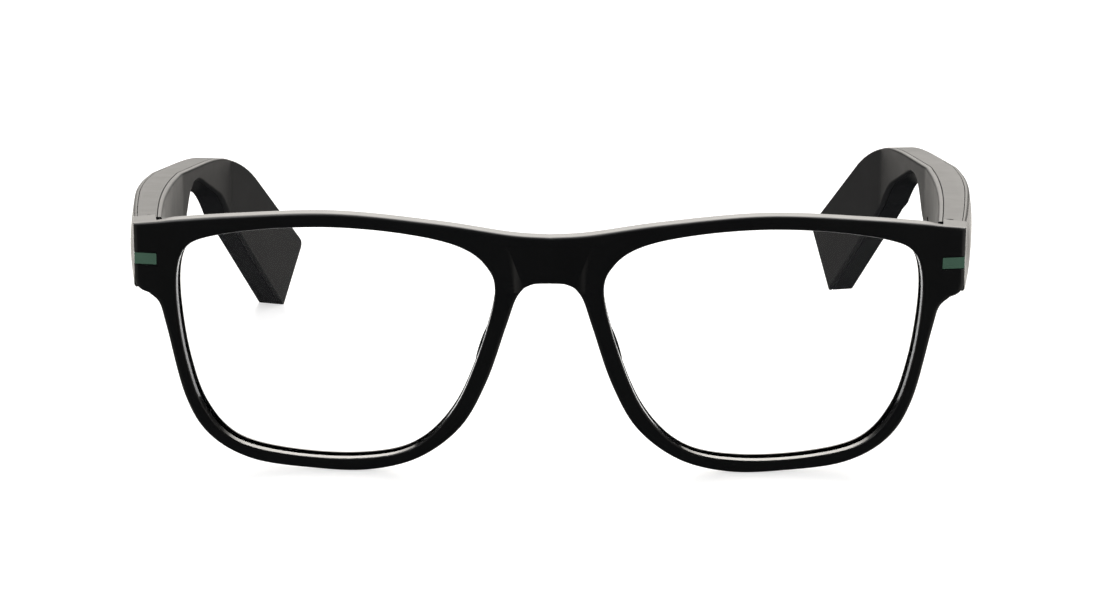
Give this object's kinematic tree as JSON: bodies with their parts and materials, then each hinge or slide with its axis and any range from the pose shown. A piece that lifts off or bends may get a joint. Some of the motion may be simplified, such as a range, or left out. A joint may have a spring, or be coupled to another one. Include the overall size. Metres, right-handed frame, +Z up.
{
  "type": "smart glasses",
  "caption": "Full-rim spectacle front with clear lenses and a colour inlay at each corner, and two layered audio temples that fold on pin hinges.",
  "frame": {"origin": "middle of the footprint, on the surface that the lower rims and the left temple's tip stand on", "axes": "the front faces -Y, the temples run back along +Y, +X is towards the temple with the controls, +Z is up; that temple is raised by 1.75 degrees and splayed by 1.4 degrees, as on a pair that has been worn"},
  "size_m": [0.1582, 0.1486, 0.0477],
  "materials": {
    "frame": "satin black",
    "temple": "matte dark grey",
    "cover": "matte dark grey",
    "panel": "satin dark grey",
    "inlay": "satin green",
    "lens": "clear, coated",
    "pad": "soft matte",
    "steel": "fine brushed",
    "contact": "gold plated",
    "cell": "foil wrapped",
    "board": "solder mask",
    "chip": "satin black",
    "flex": "amber film",
    "light": "milky diffuser"
  },
  "bodies": {
    "front": {"front_frame": "frame", "lens_left": "lens", "endpiece_inlay_left": "inlay", "nose_pad_left": "pad", "hinge_front_leaf_left": "steel", "hinge_pin_left": "steel", "lens_right": "lens", "endpiece_inlay_right": "inlay", "nose_pad_right": "pad", "hinge_front_leaf_right": "steel", "hinge_pin_right": "steel"},
    "temple_left": {"hinge_temple_leaf_left": "steel", "leaf_screw_lower_left": "steel", "leaf_screw_upper_left": "steel", "temple_shell_left": "temple", "temple_inner_cover_left": "cover", "temple_outer_panel_left": "panel", "circuit_board_left": "board", "shield_can_left": "steel", "microphone_left": "contact", "speaker_left": "chip", "speaker_grille_left": "steel", "flex_cable_left": "flex", "battery_left": "cell", "charge_contact_rear_left": "contact", "charge_contact_front_left": "contact"},
    "temple_right": {"hinge_temple_leaf_right": "steel", "leaf_screw_lower_right": "steel", "leaf_screw_upper_right": "steel", "temple_shell_right": "temple", "temple_inner_cover_right": "cover", "temple_outer_panel_right": "panel", "circuit_board_right": "board", "shield_can_right": "steel", "microphone_right": "contact", "speaker_right": "chip", "speaker_grille_right": "steel", "flex_cable_right": "flex", "battery_right": "cell", "charge_contact_rear_right": "contact", "charge_contact_front_right": "contact", "status_light_right": "light", "action_switch_right": "steel", "volume_up_switch_right": "steel", "volume_down_switch_right": "steel"},
    "action_button": {"action_button_right": "chip"},
    "volume_rocker": {"volume_rocker_right": "chip"}
  },
  "joints": [
    {"name": "temple_left_fold", "type": "hinge", "parent": "front", "child": "temple_left", "pos_m": [-0.06855, -0.06001, 0.03798], "axis": [0, -0.075, -0.9972], "range_deg": [0, 84]},
    {"name": "temple_right_fold", "type": "hinge", "parent": "front", "child": "temple_right", "pos_m": [0.06725, -0.06001, 0.03798], "axis": [0.0011, 0.0445, 0.999], "range_deg": [0, 67]},
    {"name": "action_press", "type": "slide", "parent": "temple_right", "child": "action_button", "axis": [0.0011, 0.0445, 0.999], "range_m": [0, 0.0003], "stiffness_N_per_m": 2000, "springref_m": -0.0001},
    {"name": "volume_rock", "type": "hinge", "parent": "temple_right", "child": "volume_rocker", "pos_m": [0.07411, -0.02512, 0.02966], "axis": [0.9982, -0.0601, 0.0016], "range_deg": [-1.8, 1.8], "stiffness_Nm_per_rad": 0.15}
  ]
}
